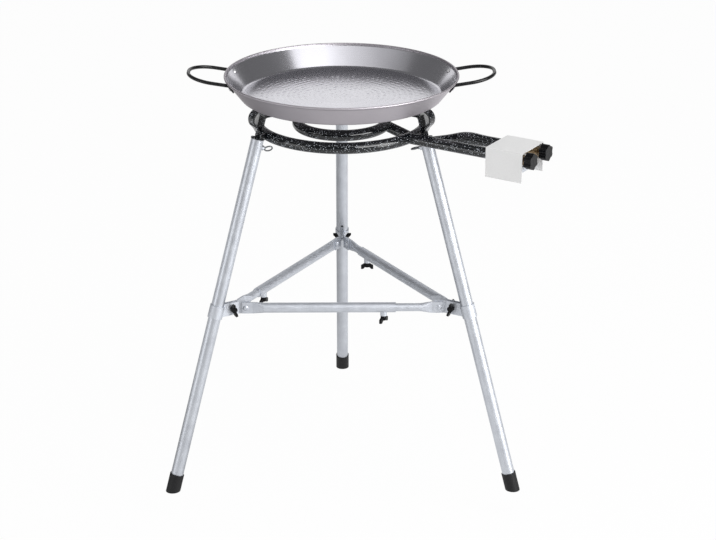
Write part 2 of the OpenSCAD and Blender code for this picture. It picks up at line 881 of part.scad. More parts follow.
module leg_screw(az, turn)
    color(zinc)
    leg_screw_axis(az)
    rotate([0, 0, turn]) {
        eye_z = leg_r + leg_boss_h + leg_screw_out + eye_d / 2;
        translate([0, 0, spigot_r + pass_gap])
            cylinder(d = leg_screw_d, h = eye_z - eye_d / 2 - spigot_r - pass_gap);
        translate([0, 0, eye_z])
            rotate([90, 0, 0])
            rotate_extrude()
            translate([eye_d / 2, 0])
            circle(d = eye_wire_d);
    }

// Brace corners

module leg_cut(az)
    at_leg(az)
    translate([corner_r, 0, brace_z])
    rotate([0, -leg_tilt, 0])
    cylinder(r = leg_r + run_clear, h = 3 * ear_h, center = true);

module stud_axis(az, side)
    at_leg(az)
    translate([stud_r, 0, brace_z])
    rotate([-90 * side, 0, 0])
    children();

module rivet_axis(az, side)
    at_leg(az)
    mirror([0, side < 0 ? 1 : 0, 0])
    rotate([0, 0, HALF_SIDE])
    translate([brace_r, -rivet_y, brace_z])
    rotate([0, 90, 0])
    children();

module clamp(az)
    color(zinc)
    difference() {
        union() {
            clamp_band(az);
            for (side = [0, 1])
                at_leg(az)
                mirror([0, side, 0])
                translate([0, 0, brace_z - ear_h / 2])
                linear_extrude(height = ear_h)
                clamp_ear();
        }
        leg_cut(az);
        stud_axis(az, 1)
            cylinder(r = stud_d / 2 + press_clear, h = 4 * flange_y, center = true);
        for (side = [-1, 1])
            rivet_axis(az, side)
            cylinder(d = brace_rivet_d, h = 4 * flat_t, center = true);
    }

// The strap round the leg, open towards the burner's axis between its two flanges.
module clamp_band(az)
    difference() {
        at_leg(az)
            translate([corner_r, 0, brace_z])
            rotate([0, -leg_tilt, 0])
            cylinder(r = leg_r + run_clear + ear_t, h = ear_h, center = true);
        at_leg(az)
            translate([bend_r, -flange_y, brace_z - ear_h])
            cube([corner_r - bend_r, 2 * flange_y, 2 * ear_h]);
    }

// One flange and its ear, seen from above.
module clamp_ear() {
    turn = 90 - HALF_SIDE;
    along = [-cos(turn), sin(turn)];
    across = [sin(turn), cos(turn)] * ear_t / 2;
    mitre = [sin(turn / 2), cos(turn / 2)] * ear_t / 2 / cos(turn / 2);
    bend = [bend_r, flange_y];
    tip = bend + (ear_rivet + ear_tail) * along;
    polygon([
        [corner_r, flange_gap],
        [corner_r, flange_gap + ear_t],
        bend + mitre,
        tip + across,
        tip - across,
        bend - mitre
    ]);
}

module clamp_stud(az)
    color(zinc)
    stud_axis(az, 1)
    cylinder(d = stud_d, h = 2 * stud_half, center = true);

module brace_rivets(az)
    color(zinc)
    for (side = [-1, 1])
        rivet_axis(az, side) {
            grip = flat_t + ear_t + 2 * press_clear;
            translate([0, 0, -flat_t / 2 - ear_t - press_clear])
                cylinder(r = brace_rivet_d / 2 - press_clear, h = grip);
            translate([0, 0, flat_t / 2 + press_clear])
                cylinder(d1 = brace_rivet_head_d, d2 = brace_rivet_d, h = brace_rivet_head_h);
            translate([0, 0, -flat_t / 2 - ear_t - press_clear - brace_rivet_head_h])
                cylinder(d1 = brace_rivet_d, d2 = brace_rivet_head_d, h = brace_rivet_head_h);
        }

// The flattened end of a brace tube, at the leg that the side starts from.
module flat_tube_end(tube_d) {
    translate([-flat_t / 2, -rivet_y - flat_margin, -flat_h / 2])
        cube([flat_t, flat_margin + flat_l + CUT, flat_h]);
    hull() {
        translate([-flat_t / 2, -flat_end, -flat_h / 2])
            cube([flat_t, CUT, flat_h]);
        along_y(-tube_start)
            cylinder(r = tube_d / 2 - run_clear, h = CUT, $fn = FACETS);
    }
}

module flat_tube_rivet_hole()
    translate([0, -rivet_y, 0])
    rotate([0, 90, 0])
    cylinder(d = brace_rivet_d, h = 2 * flat_t, center = true);

module brace_outer(az, more)
    color(zinc)
    on_side(az)
    difference() {
        union() {
            along_y(-tube_start)
                cylinder(d = brace_outer_d, h = open_end + more + tube_start);
            flat_tube_end(brace_outer_d);
            translate([0, lock_y + more, -boss_drop])
                cylinder(d = lock_boss_d, h = boss_drop);
        }
        along_y(-tube_start + 3 * CUT)
            cylinder(r = brace_bore_r, h = open_end + more + tube_start);
        translate([0, lock_y + more, -boss_drop - CUT])
            cylinder(r = stud_d / 2 + run_clear, h = boss_drop);
        flat_tube_rivet_hole();
    }

module brace_inner(az)
    color(zinc)
    on_side(az)
    mirror([0, 1, 0])
    difference() {
        union() {
            along_y(-tube_start)
                cylinder(d = brace_inner_d, h = tube_start + brace_inner_l - rivet_y);
            flat_tube_end(brace_inner_d);
        }
        along_y(-tube_start + 3 * CUT)
            cylinder(r = brace_inner_d / 2 - brace_inner_wall, h = 2 * brace_inner_l);
        flat_tube_rivet_hole();
    }

// Wing knobs: local Z runs from the seat out along the screw.

module wing_body() {
    half = wing_span / 2;
    hub = wing_hub_d / 2;
    cylinder(d = wing_hub_d, h = wing_hub_h);
    for (turn = [0, 180])
        rotate([90, 0, turn])
        linear_extrude(height = wing_t, center = true)
        polygon([
            [0, wing_root_h],
            [hub, wing_root_h],
            [half, wing_under_h],
            [half, wing_tip_h],
            [half - wing_t, wing_tip_h],
            [hub - wing_t / 2, wing_hub_h],
            [0, wing_hub_h]
        ]);
}

module wing_knob(az, side, turn)
    color(black_plastic)
    stud_axis(az, side)
    translate([0, 0, knob_seat])
    rotate([0, 0, turn])
    difference() {
        wing_body();
        translate([0, 0, -CUT])
            cylinder(r = stud_d / 2 + run_clear, h = wing_bore_l + CUT);
    }

module lock_knob(az, turn, more)
    color(black_plastic)
    on_side(az)
    translate([0, lock_y + more, -boss_drop - pass_gap])
    rotate([180, 0, turn]) {
        wing_body();
        translate([0, 0, brace_inner_d / 2 - boss_drop])
            cylinder(d = stud_d, h = boss_drop - brace_inner_d / 2 + CUT);
    }

pan();
pan_handle(180);  // pan_handle_left
pan_handle(0);  // pan_handle_right
pan_rivets();
outer_ring();
inner_ring();
outer_feed_tube();
inner_feed_tube();
pan_support(LEFT);  // pan_support_left
pan_support(RIGHT);  // pan_support_right
pan_support(BACK);  // pan_support_back
tap_shield();
shield_screws();
tap_valve(outer_feed_y);  // outer_valve
tap_valve(inner_feed_y);  // inner_valve
tap_jet(outer_feed_y);  // outer_jet
tap_jet(inner_feed_y);  // inner_jet
gas_manifold();
hose_tail();
tap_stem(outer_feed_y);  // outer_tap_stem
tap_stem(inner_feed_y);  // inner_tap_stem
tap_knob(outer_feed_y);  // outer_tap_knob
tap_knob(inner_feed_y);  // inner_tap_knob
leg(LEFT);  // leg_left
leg(RIGHT);  // leg_right
leg(BACK);  // leg_back
foot(LEFT);  // foot_left
foot(RIGHT);  // foot_right
foot(BACK);  // foot_back
leg_screw(LEFT, SCREW_TURNS[0]);  // leg_screw_left
leg_screw(RIGHT, SCREW_TURNS[1]);  // leg_screw_right
leg_screw(BACK, SCREW_TURNS[2]);  // leg_screw_back
clamp(LEFT);  // clamp_left
clamp(RIGHT);  // clamp_right
clamp(BACK);  // clamp_back
clamp_stud(LEFT);  // clamp_stud_left
clamp_stud(RIGHT);  // clamp_stud_right
clamp_stud(BACK);  // clamp_stud_back
brace_rivets(LEFT);  // brace_rivets_left
brace_rivets(RIGHT);  // brace_rivets_right
brace_rivets(BACK);  // brace_rivets_back
brace_outer(LEFT, 0);  // brace_outer_front
brace_outer(RIGHT, right_outer_more);  // brace_outer_right
brace_outer(BACK, left_outer_more);  // brace_outer_left
brace_inner(LEFT);  // brace_inner_front
brace_inner(RIGHT);  // brace_inner_right
brace_inner(BACK);  // brace_inner_left
wing_knob(LEFT, 1, WING_TURNS[0]);  // wing_knob_left_a
wing_knob(LEFT, -1, WING_TURNS[1]);  // wing_knob_left_b
wing_knob(RIGHT, 1, WING_TURNS[2]);  // wing_knob_right_a
wing_knob(RIGHT, -1, WING_TURNS[3]);  // wing_knob_right_b
wing_knob(BACK, 1, WING_TURNS[4]);  // wing_knob_back_a
wing_knob(BACK, -1, WING_TURNS[5]);  // wing_knob_back_b
lock_knob(LEFT, LOCK_TURNS[0], 0);  // lock_knob_front
lock_knob(RIGHT, LOCK_TURNS[1], right_outer_more);  // lock_knob_right
lock_knob(BACK, LOCK_TURNS[2], left_outer_more);  // lock_knob_left
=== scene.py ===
# %% [markdown]
# # A paella burner in its finishes
#
# The solids come from the CAD model and stay as they are. This lesson gives them their finishes: bright zinc
# on the tripod, speckled enamel on the burner, polished and hammered steel in the pan. Where a finish has a
# shape of its own, such as the hammer marks in the pan's floor, a new surface is worked out with numpy.

# %% Load the frame
import math

import bpy
import numpy as np
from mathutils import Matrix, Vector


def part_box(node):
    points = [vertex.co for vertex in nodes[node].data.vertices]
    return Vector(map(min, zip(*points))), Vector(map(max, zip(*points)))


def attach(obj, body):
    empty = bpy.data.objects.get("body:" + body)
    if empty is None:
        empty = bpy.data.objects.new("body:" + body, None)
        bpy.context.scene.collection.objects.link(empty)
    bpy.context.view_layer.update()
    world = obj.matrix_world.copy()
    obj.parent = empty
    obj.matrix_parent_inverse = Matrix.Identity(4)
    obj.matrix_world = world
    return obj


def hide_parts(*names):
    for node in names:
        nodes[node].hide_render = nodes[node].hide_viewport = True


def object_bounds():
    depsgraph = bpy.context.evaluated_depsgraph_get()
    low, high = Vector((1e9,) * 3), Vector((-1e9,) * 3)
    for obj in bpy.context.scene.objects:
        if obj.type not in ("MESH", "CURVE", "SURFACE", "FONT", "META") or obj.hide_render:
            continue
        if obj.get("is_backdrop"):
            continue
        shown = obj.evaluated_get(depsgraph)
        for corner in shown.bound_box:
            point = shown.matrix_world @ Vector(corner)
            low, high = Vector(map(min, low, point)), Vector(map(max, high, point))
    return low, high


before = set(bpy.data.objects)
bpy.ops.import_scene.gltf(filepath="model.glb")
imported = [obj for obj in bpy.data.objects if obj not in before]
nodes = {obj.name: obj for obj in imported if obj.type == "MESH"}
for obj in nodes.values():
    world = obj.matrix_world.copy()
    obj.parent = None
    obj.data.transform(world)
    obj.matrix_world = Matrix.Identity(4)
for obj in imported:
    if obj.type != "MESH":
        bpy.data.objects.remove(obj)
cad_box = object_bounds()

# %% [markdown]
# ## The camera
#
# The photograph was taken from the front with a long lens, about 22 degrees above level. A long lens keeps
# the legs from splaying out, so the focal length matters as much as the place. Both were fitted to the rim,
# the rings and the feet.

# %% Camera
IMAGE_W = 716
FOCAL_PIXELS = 1934.2
SENSOR_W = 36.0
CAMERA_PLACE = (0.0, -3.6484, 1.8648)
CAMERA_DOWN = 0.3824
CAMERA_RIGHT = 0.0088

camera_data = bpy.data.cameras.new("camera")
camera_data.sensor_width = SENSOR_W
camera_data.lens = FOCAL_PIXELS * SENSOR_W / IMAGE_W
camera = bpy.data.objects.new("camera", camera_data)
camera.location = CAMERA_PLACE
camera.rotation_euler = (math.pi / 2 - CAMERA_DOWN, 0.0, -CAMERA_RIGHT)
bpy.context.scene.collection.objects.link(camera)
bpy.context.scene.camera = camera
bpy.context.scene.view_settings.view_transform = "Standard"
print("lens", round(camera_data.lens, 2), "mm")

# %% [markdown]
# ## Wiring a shader with arithmetic
#
# A material is a tree of nodes, and its maths is easier to read as Python than as a list of links. A Wire
# holds one socket. Adding or multiplying Wires adds Math nodes, and one method, make, adds any other node.

# %% Wire
class Wire:
    """One socket of a node tree, on which Python's operators add Math nodes."""

    def __init__(self, tree, socket=None):
        self.tree = tree
        self.socket = socket

    def make(self, kind, settings, sockets, out=0):
        """Add a node: its type, its settings, the values or Wires of its sockets, and the output to use."""
        node = self.tree.nodes.new("ShaderNode" + kind)
        for key, value in settings.items():
            setattr(node, key, value)
        for key, value in sockets.items():
            if isinstance(value, Wire):
                self.tree.links.new(value.socket, node.inputs[key])
            else:
                node.inputs[key].default_value = value
        return Wire(self.tree, node.outputs[out])

    def maths(self, operation, first, second):
        """A Math node on two values or Wires."""
        return self.make("Math", {"operation": operation}, {0: first, 1: second})

    def __add__(self, other):
        return self.maths("ADD", self, other)

    __radd__ = __add__

    def __sub__(self, other):
        return self.maths("SUBTRACT", self, other)

    def __rsub__(self, other):
        return self.maths("SUBTRACT", other, self)

    def __mul__(self, other):
        return self.maths("MULTIPLY", self, other)

    __rmul__ = __mul__

    def __lt__(self, other):
        return self.maths("LESS_THAN", self, other)

    def blend(self, first, second):
        """A colour between two, by this Wire's value."""
        return self.make("Mix", {"data_type": "RGBA"}, {0: self, 6: first, 7: second}, out=2)

    def spread(self, low, high, to_low, to_high):
        """This value moved from one range to another, and held inside the second."""
        return self.make("MapRange", {"clamp": True}, {
            "Value": self, "From Min": low, "From Max": high, "To Min": to_low, "To Max": to_high})


print("wire is ready")

# %% [markdown]
# ## A finish
#
# Every finish here is one Principled shader. What is the same all over goes on its sockets as a number, and
# what changes over the surface is wired into them. Patterns read Object coordinates, which stay with the piece
# when it moves.

# %% Finish
NOISE_LOW = 0.3
NOISE_HIGH = 0.7


class Finish:
    """A material with one Principled shader: constants go on its sockets, and Wires into them."""

    def __init__(self, name, **constants):
        self.material = bpy.data.materials.new(name)
        self.material.use_nodes = True
        tree = self.material.node_tree
        self.shader = tree.nodes["Principled BSDF"]
        self.wire = Wire(tree)
        self.place = self.wire.make("TexCoord", {}, {}, out="Object")
        for key, value in constants.items():
            self.shader.inputs[key.replace("_", " ")].default_value = value

    def feed(self, socket, wire):
        """Link a Wire into one of the shader's sockets."""
        self.wire.tree.links.new(wire.socket, self.shader.inputs[socket])

    def noise(self, per_metre, detail=3.0, stretch=(1.0, 1.0, 1.0), turn=(0.0, 0.0, 0.0)):
        """Cloudy noise from 0 to 1 with this many waves a metre, stretched along the piece's axes."""
        moved = self.wire.make("Mapping", {}, {"Vector": self.place, "Scale": stretch, "Rotation": turn})
        return self.wire.make("TexNoise", {}, {"Vector": moved, "Scale": per_metre, "Detail": detail})

    def relief(self, height, depth):
        """Raise the surface by a height from 0 to 1 times a depth in metres."""
        self.feed("Normal", self.wire.make("Bump", {}, {"Height": height, "Distance": depth}))


print("finish is ready, noise used from", NOISE_LOW, "to", NOISE_HIGH)

# %% [markdown]
# ## Zinc on the legs and the brace
#
# The tubes are drawn steel with bright zinc plate. The plate is nearly white, with a cold tint, and it is
# softer than chrome: highlights run along a tube as broad bands. Fine draw lines run along the tube, and the
# tone is a little cloudy. The lines are noise stretched along the tube, so each direction of tube has its own
# turn of the pattern.

# %% Zinc
ZINC_LIGHT = (0.63, 0.655, 0.70, 1.0)
ZINC_DARK = (0.50, 0.52, 0.565, 1.0)
ZINC_METAL = 0.9
LEG_ROUGH = (0.38, 0.5)
BRACE_ROUGH = (0.5, 0.62)
CLOUD_SHARE = 0.6
ZINC_CLOUDS_PER_METRE = 45.0
DRAW_LINES_PER_METRE = 900.0
DRAW_LINE_DEPTH = 0.00002
ALONG_Z = (1.0, 1.0, 0.02)
LEG_LEAN = math.radians(16.3)


def zinc_finish(name, turn, rough):
    """Bright plate whose draw lines follow the pattern's own upright axis after the turn."""
    finish = Finish(name, Metallic=ZINC_METAL)
    cloud = finish.noise(ZINC_CLOUDS_PER_METRE)
    lines = finish.noise(DRAW_LINES_PER_METRE, stretch=ALONG_Z, turn=turn)
    tone = (CLOUD_SHARE * cloud + (1.0 - CLOUD_SHARE) * lines).spread(NOISE_LOW, NOISE_HIGH, 0.0, 1.0)
    finish.feed("Base Color", tone.blend(ZINC_DARK, ZINC_LIGHT))
    finish.feed("Roughness", (cloud + lines).spread(2 * NOISE_LOW, 2 * NOISE_HIGH, *rough))
    finish.relief(lines, DRAW_LINE_DEPTH)
    return finish.material


def leg_turn(azimuth):
    """The turn that brings a leaning leg's axis upright."""
    around = math.radians(azimuth)
    return (-LEG_LEAN * math.sin(around), LEG_LEAN * math.cos(around), 0.0)


LEG_AZIMUTHS = {"left": 210.0, "right": 330.0, "back": 90.0}
SIDE_AZIMUTHS = {"front": 270.0, "right": 30.0, "left": 150.0}
leg_zinc = {
    leg: zinc_finish("zinc_leg_" + leg, leg_turn(angle), LEG_ROUGH)
    for leg, angle in LEG_AZIMUTHS.items()
}
brace_zinc = {
    side: zinc_finish("zinc_brace_" + side, (math.pi / 2, 0.0, -math.radians(angle)), BRACE_ROUGH)
    for side, angle in SIDE_AZIMUTHS.items()
}
small_zinc = zinc_finish("zinc_small", (0.0, 0.0, 0.0), BRACE_ROUGH)
print("zinc finishes", len(leg_zinc), "on legs,", len(brace_zinc), "on the brace and", small_zinc.name)

# %% [markdown]
# ## Speckled enamel on the burner
#
# Burner tubes are dipped in black glass enamel with small white flecks. A Voronoi pattern scatters one point
# in each small cell. A fleck is where the distance to that point is below a size that the cell's own random
# colour sets, so flecks differ in size and many cells have none.

# %% Enamel
ENAMEL_BLACK = (0.004, 0.005, 0.007, 1.0)
FLECK_WHITE = (0.66, 0.70, 0.76, 1.0)
FLECKS_PER_METRE = 460.0
FLECK_MAX = 0.37
FLECK_CHANCE = 0.25
ENAMEL_ROUGH = (0.06, 0.14)
ENAMEL_WAVES_PER_METRE = 70.0
ENAMEL_WAVE_DEPTH = 0.0002


def enamel_finish(name):
    """Black glass with flecks: a fleck is where distance to the cell's point is below the cell's own size."""
    finish = Finish(name, Specular_IOR_Level=0.5)
    sockets = {"Vector": finish.place, "Scale": FLECKS_PER_METRE}
    distance = finish.wire.make("TexVoronoi", {}, sockets, out="Distance")
    colour = finish.wire.make("TexVoronoi", {}, sockets, out="Color")
    chance = finish.wire.make("SeparateColor", {}, {"Color": colour}, out="Red")
    fleck = distance < chance.spread(FLECK_CHANCE, 1.0, 0.0, FLECK_MAX)
    finish.feed("Base Color", fleck.blend(ENAMEL_BLACK, FLECK_WHITE))
    wave = finish.noise(ENAMEL_WAVES_PER_METRE, detail=2.0)
    finish.feed("Roughness", wave.spread(NOISE_LOW, NOISE_HIGH, *ENAMEL_ROUGH))
    finish.relief(wave, ENAMEL_WAVE_DEPTH)
    return finish.material


enamel = enamel_finish("speckled_enamel")
print("enamel", enamel.name)

# %% [markdown]
# ## Black rod, black plastic, brass and white paint
#
# The small finishes are quicker. Each still has a grain at its own scale: the coated rod is slightly uneven,
# moulded plastic has a fine pebble, brass shows turning marks, and paint has a faint orange peel.

# %% Small finishes
SMALL_FINISHES = {
    "coated_rod": {
        "colour": (0.004, 0.004, 0.005), "lift": 0.006, "per_metre": 160.0, "rough": (0.2, 0.34),
        "depth": 0.0001, "Specular_IOR_Level": 0.3},
    "moulded_knob": {
        "colour": (0.003, 0.003, 0.004), "lift": 0.004, "per_metre": 350.0, "rough": (0.16, 0.28),
        "depth": 0.0005, "Specular_IOR_Level": 0.12},
    "foot_cap": {
        "colour": (0.005, 0.005, 0.006), "lift": 0.006, "per_metre": 500.0, "rough": (0.45, 0.65),
        "depth": 0.0001, "Specular_IOR_Level": 0.3},
    "turned_brass": {
        "colour": (0.27, 0.185, 0.095), "lift": 0.06, "per_metre": 260.0, "rough": (0.3, 0.45),
        "depth": 0.00005, "Metallic": 1.0},
    "shield_paint": {
        "colour": (0.75, 0.75, 0.75), "lift": 0.03, "per_metre": 420.0, "rough": (0.35, 0.5),
        "depth": 0.00004},
    "rivet_steel": {
        "colour": (0.62, 0.61, 0.63), "lift": 0.08, "per_metre": 500.0, "rough": (0.25, 0.4),
        "depth": 0.00003, "Metallic": 1.0},
    "screw_steel": {
        "colour": (0.20, 0.21, 0.22), "lift": 0.05, "per_metre": 500.0, "rough": (0.3, 0.45),
        "depth": 0.00003, "Metallic": 1.0},
}


def grained_finish(name, colour, lift, per_metre, rough, depth, **constants):
    """One colour with a paler grain: noise moves the tone, the gloss and the height together."""
    finish = Finish(name, **constants)
    grain = finish.noise(per_metre)
    paler = tuple(min(1.0, tint + lift) for tint in colour)
    tone = grain.spread(NOISE_LOW, NOISE_HIGH, 0.0, 1.0)
    finish.feed("Base Color", tone.blend((*colour, 1.0), (*paler, 1.0)))
    finish.feed("Roughness", grain.spread(NOISE_LOW, NOISE_HIGH, *rough))
    finish.relief(grain, depth)
    return finish.material


small = {name: grained_finish(name, **values) for name, values in SMALL_FINISHES.items()}
print("small finishes", len(small))

# %% [markdown]
# ## Dressing the solids
#
# A CAD node keeps its mesh, and only its material changes. The node's name says what it is, so its finish is
# picked by how the name starts. The first start in the list that fits is used.

# %% Dress the solids
tube_finishes = [("leg_" + leg, finish) for leg, finish in leg_zinc.items()]
tube_finishes += [("brace_outer_" + side, finish) for side, finish in brace_zinc.items()]
tube_finishes += [("brace_inner_" + side, finish) for side, finish in brace_zinc.items()]
NAME_STARTS = {
    enamel: ["pan_support", "outer_ring", "inner_ring", "outer_feed", "inner_feed"],
    small["coated_rod"]: ["pan_handle"],
    small["moulded_knob"]: ["outer_tap_knob", "inner_tap_knob", "wing_knob", "lock_knob"],
    small["foot_cap"]: ["foot"],
    small["turned_brass"]: ["outer_", "inner_", "hose_tail"],
    small["shield_paint"]: ["tap_shield"],
    small["screw_steel"]: ["leg_screw"],
    small["rivet_steel"]: ["pan"],
    small_zinc: ["shield_screws", "gas_manifold", "clamp", "brace_rivets"],
}
name_finishes = tube_finishes + [(start, finish) for finish, starts in NAME_STARTS.items() for start in starts]
for name, node in nodes.items():
    node.data.materials.clear()
    node.data.materials.append(next(finish for start, finish in name_finishes if name.startswith(start)))
print("dressed", len(nodes), "nodes")

# %% [markdown]
# ## The pan
#
# The pan is spun from one sheet: a flat floor with rings of hammer marks, a round corner, a sloped wall and a
# rolled rim. It is a profile turned about the upright axis, so its points are a grid of two parameters, the
# way along the profile and the angle. The hammer marks are shallow bowls pressed into the inner floor. One
# more number is stored with each point, 1 on the polished inside and 0 on the satin rim and outside, and the
# material reads it.

# %% Pan profile
PAN_WALL = 0.0015
PAN_FLOOR_R = 0.196
PAN_CORNER_R = 0.009
RIM_BEAD_R = 0.002
ARC_STEPS = 10
BEAD_STEPS = 14
WALL_STEPS = 12
FLOOR_STEPS = 96
TURN_STEPS = 576

pan_low, pan_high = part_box("pan")
bead = np.array([pan_high.x - RIM_BEAD_R, pan_high.z - RIM_BEAD_R])
corner = np.array([PAN_FLOOR_R, pan_low.z + PAN_WALL / 2])
wall_angle = math.atan2(*(bead - corner)[::-1])
corner_run = PAN_CORNER_R * math.tan(wall_angle / 2)
corner_centre = corner + np.array([-corner_run, PAN_CORNER_R])


def arc(centre, radius, first, last, steps):
    """Points of a circle: centre plus radius times the cosine and sine of evenly spaced angles."""
    angle = np.linspace(first, last, steps)
    return centre + radius * np.stack([np.cos(angle), np.sin(angle)], axis=1)


floor_edge = corner[0] - corner_run
floor_in = np.linspace((0.0, pan_low.z + PAN_WALL), (floor_edge, pan_low.z + PAN_WALL), FLOOR_STEPS)
floor_out = np.linspace((floor_edge, pan_low.z), (0.0, pan_low.z), ARC_STEPS)
down, slope = -math.pi / 2, wall_angle - math.pi / 2
corner_in = arc(corner_centre, PAN_CORNER_R - PAN_WALL / 2, down, slope, ARC_STEPS)
corner_out = arc(corner_centre, PAN_CORNER_R + PAN_WALL / 2, slope, down, ARC_STEPS)
bead_start = wall_angle + math.pi - math.asin(PAN_WALL / 2 / RIM_BEAD_R)
bead_end = wall_angle - math.pi + math.asin(PAN_WALL / 2 / RIM_BEAD_R)
rim = arc(bead, RIM_BEAD_R, bead_start, bead_end, BEAD_STEPS)
wall_in = np.linspace(corner_in[-1], rim[0], WALL_STEPS)[1:-1]
wall_out = np.linspace(rim[-1], corner_out[0], WALL_STEPS)[1:-1]
inside = np.concatenate([floor_in, corner_in[1:], wall_in])
outside = np.concatenate([wall_out, corner_out, floor_out[1:]])
profile = np.concatenate([inside, rim, outside])
polish = np.concatenate([np.ones(len(inside)), np.zeros(len(rim) + len(outside))])
print("pan profile", len(profile), "points, wall at", round(math.degrees(wall_angle), 1), "degrees")

# %% [markdown]
# ### The hammer marks
#
# Each blow of the hammer leaves a shallow round bowl. The blows go round the floor in rings, and no two are
# equally hard. The depth is worked out for every point of the floor at once.

# %% Hammer marks
MARK_PITCH = 0.0105
MARK_R = 0.0048
MARK_DEPTH = 0.00036
MARKS_END = 0.172
BLOW_SPREAD = 0.75
BLOW_SCATTER = 4375.85
BLOW_RING = 12.99
BLOW_STEP = 78.23


def hammer_marks(radius, angle):
    """Depth of the marks: rings a pitch apart, each cut into equal steps of about a pitch, with one
    shallow bowl, 1 minus the squared distance from its middle, in each step. A large multiple of a sine
    of the mark's ring and step, less its whole part, makes some blows lighter than others."""
    ring = np.round(radius / MARK_PITCH)
    count = np.maximum(1.0, np.round(2 * math.pi * ring))
    step = 2 * math.pi / count
    shifted = angle + ring % 2 * step / 2
    along = (np.mod(shifted, step) - step / 2) * radius
    away = (radius - ring * MARK_PITCH) ** 2 + np.where(ring > 0, along, 0.0) ** 2
    bowl = np.clip(1.0 - away / MARK_R ** 2, 0.0, 1.0)
    chance = np.mod(BLOW_SCATTER * np.sin(BLOW_RING * ring + BLOW_STEP * np.floor(shifted / step)), 1.0)
    return MARK_DEPTH * (1.0 - BLOW_SPREAD * chance) * bowl * bowl * (radius < MARKS_END)


print("hammer marks in", round(MARKS_END / MARK_PITCH), "rings")

# %% [markdown]
# ### From a grid to a mesh
#
# A turned profile is a grid whose last column meets its first. Its cells are the faces, and a fan of triangles
# closes it at a pole. The same helpers serve for a tube.

# %% Grid helpers
def turned_grid(profile, steps):
    """A profile turned about Z: the radius, angle and height of each point of the grid."""
    angle = np.linspace(0.0, 2 * math.pi, steps, endpoint=False)[None, :]
    radius, height = profile[:, :1], profile[:, 1:]
    return np.broadcast_arrays(radius, angle, height)


def grid_faces(rows, columns, first=0):
    """Four corners of each cell of a grid whose columns close up, counted from the first point."""
    row = np.arange(rows - 1)[:, None]
    column = np.arange(columns)[None, :]
    right = (column + 1) % columns
    corners = [row * columns + column, (row + 1) * columns + column,
               (row + 1) * columns + right, row * columns + right]
    return first + np.stack(np.broadcast_arrays(*corners), axis=-1).reshape(-1, 4)


def fan_faces(pole, ring, columns):
    """Three corners of each cell between a pole and the ring of points that starts at an index."""
    column = np.arange(columns)
    return np.stack([np.full(columns, pole), ring + column, ring + (column + 1) % columns], axis=1)


def put_mesh(name, points, faces, material, body):
    """A smooth mesh object at the origin, riding on a CAD body."""
    mesh = bpy.data.meshes.new(name)
    mesh.from_pydata(points.tolist(), [], faces)
    mesh.polygons.foreach_set("use_smooth", np.ones(len(mesh.polygons), bool))
    mesh.materials.append(material)
    piece = bpy.data.objects.new(name, mesh)
    bpy.context.scene.collection.objects.link(piece)
    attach(piece, body)
    return piece


print("grid helpers are ready")

# %% Pan surface
radius, angle, height = turned_grid(profile[1:-1], TURN_STEPS)
marked = (np.arange(len(profile) - 2) < FLOOR_STEPS - 1)[:, None]
height = height - np.where(marked, hammer_marks(radius, angle), 0.0)
rings = np.stack([radius * np.cos(angle), radius * np.sin(angle), height], axis=-1).reshape(-1, 3)
top_pole = np.array([[0.0, 0.0, profile[0, 1] - MARK_DEPTH]])
under_pole = np.array([[0.0, 0.0, profile[-1, 1]]])
pan_points = np.concatenate([top_pole, rings, under_pole])
last_ring = 1 + len(rings) - TURN_STEPS
pan_faces = (
    fan_faces(0, 1, TURN_STEPS).tolist()
    + grid_faces(len(profile) - 2, TURN_STEPS, first=1).tolist()
    + fan_faces(len(pan_points) - 1, last_ring, TURN_STEPS)[:, ::-1].tolist()
)
pan_polish = np.concatenate([polish[:1], np.repeat(polish[1:-1], TURN_STEPS), polish[-1:]])
print("pan points", len(pan_points), "faces", len(pan_faces))

# %% [markdown]
# ### The pan's steel
#
# The inside is polished, and the polish runs round the pan, so the scratches are noise that varies only with
# the distance from the frame's origin, which is the same all round a ring. The outside is satin and slightly
# warm. The stored number picks between the two.

# %% Pan finish
INSIDE_LIGHT = (0.58, 0.575, 0.615, 1.0)
INSIDE_DARK = (0.51, 0.505, 0.545, 1.0)
OUTSIDE_LIGHT = (0.48, 0.455, 0.485, 1.0)
OUTSIDE_DARK = (0.43, 0.405, 0.435, 1.0)
INSIDE_ROUGH = 0.17
OUTSIDE_ROUGH = 0.5
SPIN_ROUGH = 0.06
SCRATCHES_PER_METRE = 1400.0
SCRATCH_DEPTH = 0.000002
SCRATCH_SHARE = 0.5
PAN_CLOUDS_PER_METRE = 14.0
PAN_NOISE = (0.35, 0.65)

pan_finish = Finish("pan_steel", Metallic=1.0)
polished = pan_finish.wire.make("Attribute", {"attribute_name": "polish"}, {}, out="Fac")
away = pan_finish.wire.make("VectorMath", {"operation": "LENGTH"}, {0: pan_finish.place}, out="Value")
scratches = {"W": away, "Scale": SCRATCHES_PER_METRE, "Detail": 3.0}
spin = pan_finish.wire.make("TexNoise", {"noise_dimensions": "1D"}, scratches)
cloud = pan_finish.noise(PAN_CLOUDS_PER_METRE)
tone = ((1.0 - SCRATCH_SHARE) * cloud + SCRATCH_SHARE * spin).spread(*PAN_NOISE, 0.0, 1.0)
pan_finish.feed("Base Color", polished.blend(
    tone.blend(OUTSIDE_DARK, OUTSIDE_LIGHT), tone.blend(INSIDE_DARK, INSIDE_LIGHT)))
pan_finish.feed("Roughness", polished.spread(0.0, 1.0, OUTSIDE_ROUGH, INSIDE_ROUGH) + SPIN_ROUGH * spin)
pan_finish.relief(spin, SCRATCH_DEPTH)

